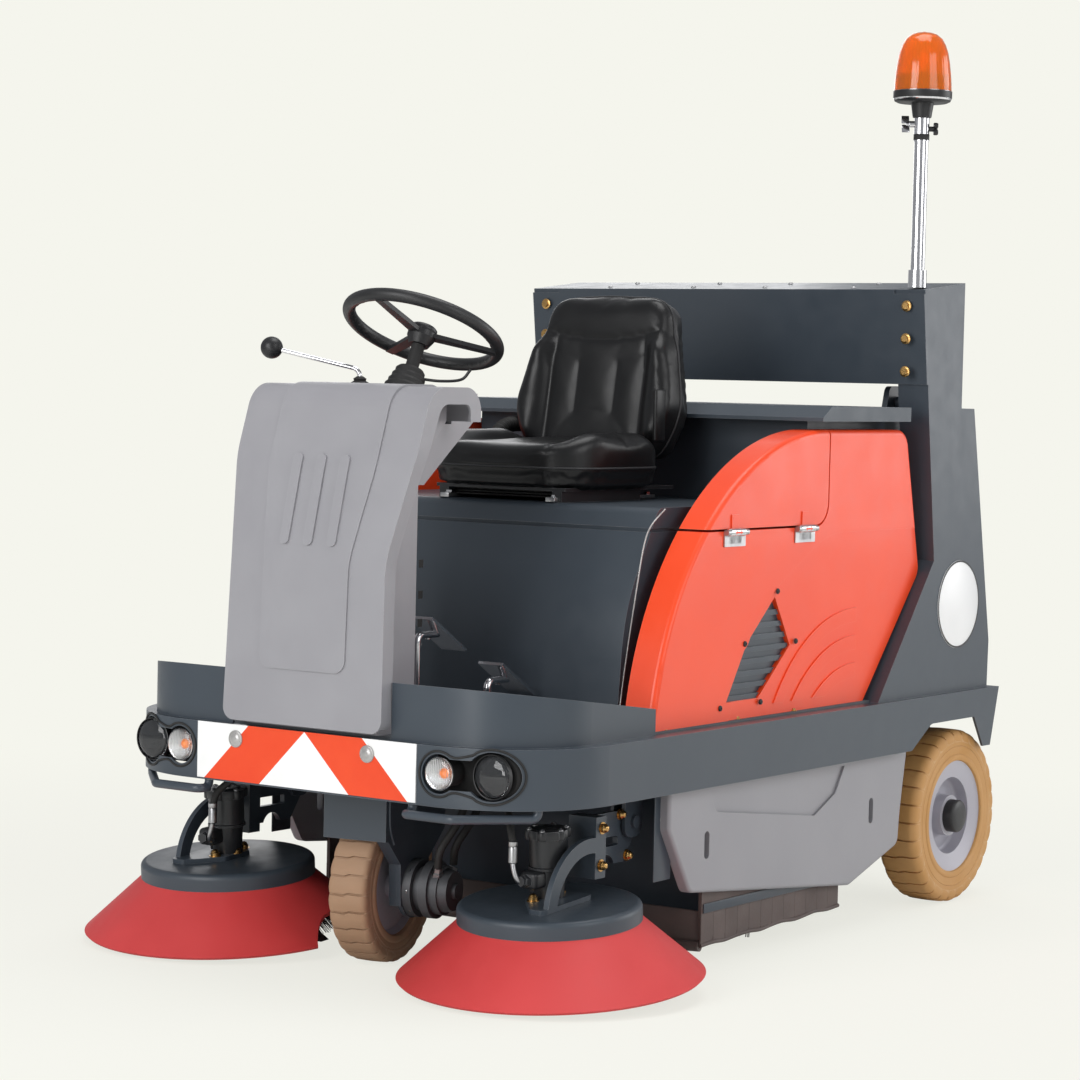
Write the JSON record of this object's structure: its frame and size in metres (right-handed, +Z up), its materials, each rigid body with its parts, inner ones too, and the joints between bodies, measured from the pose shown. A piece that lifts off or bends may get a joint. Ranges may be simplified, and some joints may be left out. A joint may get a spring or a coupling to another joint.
{
  "type": "compact road sweeper",
  "caption": "Compact ride-on road sweeper with a steered front drive wheel, skirted side brushes, a cylindrical main broom, a rear dirt hopper, a seat, a steering console and a beacon.",
  "frame": {"origin": "on the floor under the middle of the whole machine, brush skirts and rear tyres included", "axes": "+X forward, +Y to the driver's left, +Z up; the floor is Z = 0"},
  "size_m": [2.0157, 1.46, 2.029],
  "materials": {
    "slate_paint": "satin",
    "slate_moulding": "fine grain",
    "pale_grey_moulding": "satin",
    "orange_moulding": "gloss",
    "dark_grey_plate": "satin",
    "warning_sheet": "white with red bands",
    "black_moulding": "matt",
    "clear_lamp": "clear over a reflector",
    "red_lamp": "gloss",
    "amber_lens": "clear amber",
    "black_steel": "satin",
    "bright_steel": "polished",
    "plain_steel": "machined",
    "engine_metal": "rough",
    "seat_cloth": "matt vinyl and cloth",
    "black_rubber": "matt",
    "red_rubber": "satin",
    "beige_tyre": "matt",
    "ochre_tyre": "matt",
    "silver_rim": "satin",
    "bristle": "matt"
  },
  "bodies": {
    "sweeper": {"chassis_frame": "slate_paint", "rear_stub_axles": "plain_steel", "bumper_beam": "slate_paint", "deck_floor": "dark_grey_plate", "deck_wall": "slate_paint", "chevron_board": "warning_sheet", "lamp_pods": "black_moulding", "front_lamps": "clear_lamp", "front_fairing": "pale_grey_moulding", "steering_console": "slate_moulding", "steering_column": "black_rubber", "drive_lever": "bright_steel", "engine_cover": "slate_moulding", "engine_block": "engine_metal", "seat_frame": "black_steel", "seat_cushion": "seat_cloth", "seat_back": "seat_cloth", "side_covers": "orange_moulding", "flap_hinges": "black_steel", "louvre_grilles": "black_moulding", "tank_housing": "slate_moulding", "tank_lid": "slate_moulding", "intake_hose": "black_rubber", "portal_posts": "slate_paint", "portal_beam": "slate_paint", "beacon_pole": "bright_steel", "beacon_lens": "amber_lens", "broom_covers": "pale_grey_moulding", "broom_housing": "slate_paint", "side_skirts": "black_rubber", "pedals": "bright_steel", "tail_lamps": "red_lamp"},
    "fork": {"steering_fork": "slate_paint", "drive_motor": "engine_metal"},
    "front_wheel": {"front_tyre": "beige_tyre", "front_rim": "silver_rim"},
    "steering_wheel": {"steering_wheel": "black_moulding"},
    "rear_wheel_left": {"rear_tyre_left": "ochre_tyre", "rear_rim_left": "silver_rim"},
    "rear_wheel_right": {"rear_tyre_right": "ochre_tyre", "rear_rim_right": "silver_rim"},
    "main_broom": {"main_broom": "bristle"},
    "flap_left": {"flap_left": "orange_moulding"},
    "flap_right": {"flap_right": "orange_moulding"},
    "hopper": {"hopper": "slate_paint"},
    "brush_arm_left": {"brush_arm_left": "slate_paint", "brush_motor_left": "black_steel", "brush_disc_left": "slate_moulding", "brush_skirt_left": "red_rubber"},
    "side_brush_left": {"side_brush_left": "bristle"},
    "brush_arm_right": {"brush_arm_right": "slate_paint", "brush_motor_right": "black_steel", "brush_disc_right": "slate_moulding", "brush_skirt_right": "red_rubber"},
    "side_brush_right": {"side_brush_right": "bristle"}
  },
  "joints": [
    {"name": "steering", "type": "hinge", "parent": "sweeper", "child": "fork", "pos_m": [0.675, 0, 0.41], "axis": [0, 0, 1], "range_deg": [-80, 60]},
    {"name": "front_wheel_spin", "type": "hinge", "parent": "fork", "child": "front_wheel", "pos_m": [0.67934, -0.02462, 0.16], "axis": [-0.1736, 0.9848, 0], "continuous": true},
    {"name": "steering_wheel_turn", "type": "hinge", "parent": "sweeper", "child": "steering_wheel", "pos_m": [0.60844, 0, 1.31307], "axis": [-0.4305, 0, 0.9026], "range_deg": [-480, 360]},
    {"name": "rear_wheel_left_spin", "type": "hinge", "parent": "sweeper", "child": "rear_wheel_left", "pos_m": [-0.803, 0.4895, 0.205], "axis": [0, 1, 0], "continuous": true},
    {"name": "rear_wheel_right_spin", "type": "hinge", "parent": "sweeper", "child": "rear_wheel_right", "pos_m": [-0.803, -0.4895, 0.205], "axis": [0, 1, 0], "continuous": true},
    {"name": "main_broom_spin", "type": "hinge", "parent": "sweeper", "child": "main_broom", "pos_m": [-0.035, 0, 0.196], "axis": [0, 1, 0], "continuous": true},
    {"name": "hopper_swing", "type": "hinge", "parent": "sweeper", "child": "hopper", "pos_m": [-0.715, 0, 1.18], "axis": [0, 1, 0], "range_deg": [0, 95]},
    {"name": "brush_lift_left", "type": "hinge", "parent": "sweeper", "child": "brush_arm_left", "pos_m": [0.467, 0.44, 0.318], "axis": [0, -1, 0], "range_deg": [0, 7]},
    {"name": "side_brush_spin_left", "type": "hinge", "parent": "brush_arm_left", "child": "side_brush_left", "pos_m": [0.696, 0.42, 0], "axis": [0.0732, 0, 0.9973], "continuous": true},
    {"name": "flap_hinge_left", "type": "hinge", "parent": "sweeper", "child": "flap_left", "pos_m": [0.06, 0.5288, 0.906], "axis": [-1, 0, 0], "range_deg": [0, 95]},
    {"name": "brush_lift_right", "type": "hinge", "parent": "sweeper", "child": "brush_arm_right", "pos_m": [0.467, -0.44, 0.318], "axis": [0, -1, 0], "range_deg": [0, 7]},
    {"name": "side_brush_spin_right", "type": "hinge", "parent": "brush_arm_right", "child": "side_brush_right", "pos_m": [0.696, -0.42, 0], "axis": [0.0732, 0, 0.9973], "continuous": true},
    {"name": "flap_hinge_right", "type": "hinge", "parent": "sweeper", "child": "flap_right", "pos_m": [0.06, -0.5288, 0.906], "axis": [1, 0, 0], "range_deg": [0, 95]}
  ],
  "couplings": [
    {"joint": "steering_wheel_turn", "follows": "steering", "ratio": 6}
  ]
}
